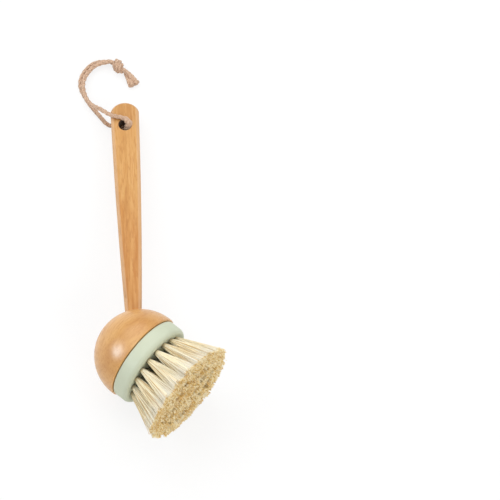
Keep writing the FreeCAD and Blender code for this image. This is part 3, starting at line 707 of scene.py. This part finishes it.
def make_knot(seed):
    """Overhand knot in the doubled twine: two strands wound together into a slanting barrel."""
    rng = random.Random(seed)
    form = Form()
    for start in (0.0, math.pi):
        line = []
        for i in range(WRAP_STEP_COUNT + 1):
            share = i / WRAP_STEP_COUNT
            turn = start + math.tau * WRAP_TURNS * share
            reach = WRAP_LEAST_REACH + WRAP_BULGE * math.sin(math.pi * share) ** WRAP_BULGE_POWER
            along = (share - 0.5) * (KNOT_LENGTH - 2 * TWINE_RADIUS) - WRAP_SLANT * math.sin(turn)
            place = at_knot(along, reach * math.cos(turn), reach * math.sin(turn))
            line.append(above_table(place, TWINE_RADIUS))
        lay_strand(form, line, rng, WRAP_HAIRS_PER_MM, first_turn=start)
    for aside in (-STRAND_ASIDE, STRAND_ASIDE):
        steps = range(-CORE_STEP_COUNT, CORE_STEP_COUNT + 1)
        places = [KNOT_LENGTH / 2 * step / CORE_STEP_COUNT for step in steps]
        core = [at_knot(along, aside * CORE_ASIDE_SHARE) for along in places]
        lay_strand(form, core, rng, CORE_HAIRS_PER_MM)
    return twine_piece(form, "twine_knot_wraps", "twine_knot")


def make_twine():
    knot = make_knot(seed=31)
    left = make_tail("twine_tail_left_fray", "twine_tail_left", LEFT_TAIL_ROUTE, STRAND_ASIDE, seed=17)
    right = make_tail("twine_tail_right_fray", "twine_tail_right", RIGHT_TAIL_ROUTE, -STRAND_ASIDE, seed=18)
    front_girth = loosened(most=1.75, until=0.005, over=0.008)
    front, front_line = make_strand(
        "twine_front_strand", "twine_front", FRONT_ROUTE, -STRAND_ASIDE, seed=11, girth_at=front_girth
    )
    back_girth = loosened(most=1.7, until=0.010, over=0.006)
    back, back_line = make_strand(
        "twine_back_strand", "twine_back", BACK_ROUTE, STRAND_ASIDE, seed=12, girth_at=back_girth
    )


make_twine()

# The tufts' sizes, as in the part, from the middle of the dome's ball. Each row has a name, the number
# of its tufts and the number of fibres in a tuft.
PLATE_RADIUS = 0.0319
PLATE_FACE = 0.0142
OUTER_ROW_INSET = 0.0069
BRISTLE_FLARE = 0.0077
TUFT_LENGTH = 0.0315
TUFT_RADIUS = 0.0022
TUFT_REACH_SHARE = 0.5
FIRST_TUFT_ANGLE = math.radians(90.0)
ROWS = (("centre", 1, 150), ("inner", 7, 150), ("middle", 13, 180), ("outer", 20, 210))
OUTER_ROW = len(ROWS) - 1
ROW_PITCH = (PLATE_RADIUS - OUTER_ROW_INSET) / OUTER_ROW
TIP_PITCH = (PLATE_RADIUS + BRISTLE_FLARE) / (OUTER_ROW + TUFT_REACH_SHARE)
TRIM_PLANE = PLATE_FACE + TUFT_LENGTH
FIRST_TUFT_SEED = 101

# Loose fibres start this far below the plate's face.
SEAT_DEPTH = 0.002

# A tuft's packed middle: its girth at the root and at the tip, where it ends, and its stripes.
CORE_SIDE_COUNT = 40
CORE_ROOT_SHARE = 0.4
CORE_TIP_SHARE = 0.86
CORE_BEND_SHARE = 0.3
CORE_RIM_SHARE = 0.002
OUTER_CORE_SHARE = 0.93
INNER_CORE_SHARE = 0.85
CORE_SIDE_MARK = 0.5
CORE_FIRST_STRIPE = 0.3
CORE_STRIPE_STEP = 0.37

# How a tuft's fibres fan out, as shares of its root's radius and of its room at the trim plane.
ROOT_SPREAD_SHARE = 0.5
ASIDE_SPREAD_SHARE = 1.4
OUTWARD_SPREAD_SHARE = 1.06
INWARD_SPREAD_SHARE = 1.3
CLUMP_COUNT = 9
GATHER_SHARE = 0.16

# How uneven the trimmed ends are. Tufts of the outer row that face up at rest stand a little longer.
OUTER_CLUMP_DEPTH = 0.0010
INNER_CLUMP_DEPTH = 0.0034
OUTER_TUFT_CUTS = (-0.0004, 0.0005)
UPPER_TUFT_GAIN = 0.0015
FIBRE_CUTS = (-0.0009, 0.0003)

# How fibres differ from each other. A stray is a fibre whose end lies further off its place.
FIBRE_RADII = (0.00019, 0.00036)
FIBRE_ROOT_SHARE = 0.9
FIBRE_SIDE_COUNT = 4
FIBRE_RING_SHARES = (0.0, 0.33, 0.67, 0.96, 1.0)
FIBRE_BOW = 0.00022
FIBRE_OFFSET = 0.00026
FIBRE_CLEARANCE = 0.0004
STRAY_FACTORS = (1.0, 2.6, 7.0)
STRAY_SHARES = (0.92, 0.07, 0.01)
DARK_FIBRE_SHARE = 0.16
FIBRE_TINTS = (0.12, 0.95)

# How fast a fibre runs through the map from root to cut. Fibres inside the head turn golden lower down, and
# so do those of the outer row that lie further in than this share of their tuft's radius; this darker
# golden colour lower down is painted shade for the head's depths.
OUTSIDE_MAP_RATE = 1.0
INSIDE_MAP_RATE = 3.0
INWARD_LIMIT_SHARE = -0.2

GOLDEN_ANGLE = math.pi * (3 - math.sqrt(5))


def spiral(i, count):
    """Even places in a disc of radius 1."""
    turn = i * GOLDEN_ANGLE
    return Vector((math.cos(turn), math.sin(turn), 0)) * math.sqrt((i + 0.5) / count)


def scatter(rng, size):
    """A random step aside of about this size."""
    return Vector((rng.gauss(0, 1), rng.gauss(0, 1), 0)) * size


def lay_core(form, spoke, root, tip, wide, aside, top_share):
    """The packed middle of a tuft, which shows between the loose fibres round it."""
    turns = [math.tau * k / CORE_SIDE_COUNT for k in range(CORE_SIDE_COUNT)]
    # Each station is a share of the way from root to tip and a place along the map.
    stations = (
        (0.0, 0.0),
        (CORE_BEND_SHARE, CORE_BEND_SHARE),
        (top_share, CORE_SIDE_MARK),
        (top_share + CORE_RIM_SHARE, 1.0),
    )
    rings = []
    marks = []
    for share, mark in stations:
        narrow = TUFT_RADIUS * CORE_ROOT_SHARE * (1 - share)
        half_x = narrow + wide * CORE_TIP_SHARE * share
        half_y = narrow + aside * CORE_TIP_SHARE * share
        middle = root.lerp(tip, share)
        shape = [middle + Vector((half_x * math.cos(turn), half_y * math.sin(turn), 0)) for turn in turns]
        rings.append([spoke @ point for point in shape])
        marks.append((mark, CORE_FIRST_STRIPE, CORE_STRIPE_STEP))
    form.tube(rings, marks)


def lay_fibre(form, spoke, start, end, map_rate, rng):
    """One loose fibre, with its own thickness, bow and tint."""
    bow = scatter(rng, FIBRE_BOW)
    radius = rng.uniform(*FIBRE_RADII)
    phase = rng.uniform(0, math.tau)
    tint = rng.uniform(*FIBRE_TINTS) if rng.random() > DARK_FIBRE_SHARE else 0.0
    direction = (end - start).normalized()
    side = any_side(direction)
    up = direction.cross(side)
    rings = []
    marks = []
    for share in FIBRE_RING_SHARES:
        centre = start.lerp(end, share) + bow * 4 * share * (1 - share)
        girth = radius * (FIBRE_ROOT_SHARE + (1 - FIBRE_ROOT_SHARE) * share)
        shape = ring(centre, side, up, girth, FIBRE_SIDE_COUNT, phase)
        rings.append([spoke @ point for point in shape])
        marks.append((min(share * map_rate, 1.0), tint, 0.0))
    form.tube(rings, marks)


def make_tuft(name, node, row, count, fibre_count, angle, seed):
    """A bunch of loose fibres that leaves its hole together and fans out to the trim plane."""
    rng = random.Random(seed)
    spoke = HEAD @ Matrix.Rotation(angle, 4, "Z")
    to_spoke = spoke.inverted()
    outside = row == OUTER_ROW
    seat = Vector((ROW_PITCH * row, 0, PLATE_FACE - SEAT_DEPTH))
    tip = Vector((TIP_PITCH * row, 0, TRIM_PLANE))
    wide = TIP_PITCH * TUFT_REACH_SHARE
    aside = math.pi * TIP_PITCH * row / count if row else wide
    form = Form()
    lay_core(form, spoke, seat, tip, wide, aside, OUTER_CORE_SHARE if outside else INNER_CORE_SHARE)
    facing_up = max((spoke.to_3x3() @ Vector((1, 0, 0))).z, 0.0)
    tuft_cut = rng.uniform(*OUTER_TUFT_CUTS) + UPPER_TUFT_GAIN * facing_up if outside else 0.0
    deepest = OUTER_CLUMP_DEPTH if outside else INNER_CLUMP_DEPTH
    clumps = [(spiral(i, CLUMP_COUNT), -deepest * rng.random()) for i in range(CLUMP_COUNT)]
    for i in range(fibre_count):
        flat = spiral(i, fibre_count)
        clump, clump_cut = min(clumps, key=lambda pair: (pair[0] - flat).length)
        gathered = flat.lerp(clump, GATHER_SHARE)
        stray = rng.choices(STRAY_FACTORS, STRAY_SHARES)[0]
        offset = scatter(rng, FIBRE_OFFSET * stray)
        cut = tuft_cut + clump_cut + rng.uniform(*FIBRE_CUTS)
        start = seat + flat * TUFT_RADIUS * ROOT_SPREAD_SHARE
        outward = outside and gathered.x > 0
        reach = wide * (OUTWARD_SPREAD_SHARE if outward else INWARD_SPREAD_SHARE)
        spread = Vector((gathered.x * reach, gathered.y * aside * ASIDE_SPREAD_SHARE, cut))
        end = to_spoke @ above_table(spoke @ (tip + spread + offset), FIBRE_CLEARANCE)
        # Fibres further in run faster through the map, so the darker golden colour reaches lower down on
        # them as painted shade.
        map_rate = OUTSIDE_MAP_RATE if outside and flat.x > INWARD_LIMIT_SHARE else INSIDE_MAP_RATE
        lay_fibre(form, spoke, start, end, map_rate, rng)
    form.piece(name, "fibre", FIBRE, "brush_head", "fibre", node)


def make_tufts():
    seed = FIRST_TUFT_SEED
    for row, (row_name, count, fibre_count) in enumerate(ROWS):
        for i in range(count):
            ending = f"{row_name}_{i + 1:02d}" if row else row_name
            angle = FIRST_TUFT_ANGLE + math.tau * i / count
            make_tuft(f"fibres_{ending}", f"tuft_{ending}", row, count, fibre_count, angle, seed)
            seed += 1


make_tufts()


def dress_solids():
    plate = moulded_plastic("plate_plastic", linear(204, 211, 187), linear(197, 204, 178))
    socket = moulded_plastic("socket_plastic", linear(205, 207, 196), linear(196, 199, 187))
    steel = plain_steel()
    finishes = {
        "handle": handle_wood(),
        "dome": dome_wood(),
        "brush_plate": plate,
        "twist_socket": socket,
        "socket_screw": steel,
        "tuft_anchors": steel,
    }
    for name, material in finishes.items():
        slot = frame["nodes"][name].material_slots[0]
        slot.link = "OBJECT"
        slot.material = material


dress_solids()

WHITE = (1.0, 1.0, 1.0, 1.0)
FLOOR_COLOUR = (0.97, 0.97, 0.97, 1.0)
FLOOR_HALF_WIDTH = 3.0
FLOOR_GLOW_SHARE = 0.8
SKY_STRENGTH = 0.34
SEEN_SKY_STRENGTH = 1.0


def make_floor():
    """A pale floor, lifted towards white where the camera or a reflection sees it."""
    mesh = bpy.data.meshes.new("floor")
    half = FLOOR_HALF_WIDTH
    corners = [(-half, -half, 0), (half, -half, 0), (half, half, 0), (-half, half, 0)]
    mesh.from_pydata(corners, [], [(0, 1, 2, 3)])
    floor = bpy.data.objects.new("floor", mesh)
    scene.collection.objects.link(floor)
    nodes = Nodes("floor")
    nodes.finish(FLOOR_COLOUR, roughness=0.9, Specular_IOR_Level=0.1)
    glow = nodes.add("Emission", {"Color": WHITE, "Strength": 1.0})
    rays = nodes.add("LightPath")
    seen = nodes.math("MAXIMUM", rays.outputs["Is Camera Ray"], rays.outputs["Is Glossy Ray"])
    share = nodes.math("MULTIPLY", seen, FLOOR_GLOW_SHARE)
    blend = nodes.add("MixShader", {0: share, 1: nodes.shader.outputs[0], 2: glow.outputs[0]})
    nodes.tree.links.new(blend.outputs[0], nodes.tree.nodes["Material Output"].inputs[0])
    mesh.materials.append(nodes.material)


def make_sky():
    """An even white surround that is dimmer as a light than it looks to the camera."""
    world = bpy.data.worlds.new("studio")
    world.use_nodes = True
    scene.world = world
    tree = world.node_tree
    sky = tree.nodes["Background"]
    sky.inputs["Color"].default_value = WHITE
    rays = tree.nodes.new("ShaderNodeLightPath")
    strength = tree.nodes.new("ShaderNodeMapRange")
    strength.inputs["To Min"].default_value = SKY_STRENGTH
    strength.inputs["To Max"].default_value = SEEN_SKY_STRENGTH
    tree.links.new(rays.outputs["Is Camera Ray"], strength.inputs["Value"])
    tree.links.new(strength.outputs[0], sky.inputs["Strength"])


def make_lamp(name, place, size, power):
    """A soft square lamp that faces the frame's origin. Power is in watts."""
    data = bpy.data.lights.new(name, "AREA")
    data.size = size
    data.energy = power
    lamp = bpy.data.objects.new(name, data)
    lamp.location = place
    lamp.rotation_euler = (-Vector(place)).to_track_quat("-Z", "Y").to_euler()
    scene.collection.objects.link(lamp)
    return lamp


def make_lamps():
    make_lamp("top", (-0.25, 0.85, 1.05), size=1.2, power=10.4)
    make_lamp("left", (-1.05, 0.10, 0.80), size=0.9, power=5.6)
    make_lamp("right", (0.85, 0.60, 0.95), size=0.9, power=3.4)
    make_lamp("front", (0.74, -0.98, 0.74), size=1.0, power=10.2)
    # This one only shows as the highlight on the dome and on other glossy surfaces.
    gloss = make_lamp("gloss", (-1.08, -0.05, 0.59), size=0.48, power=10.6)
    gloss.data.color = (0.62, 0.85, 1.0)
    gloss.visible_diffuse = False


make_floor()
make_sky()
make_lamps()
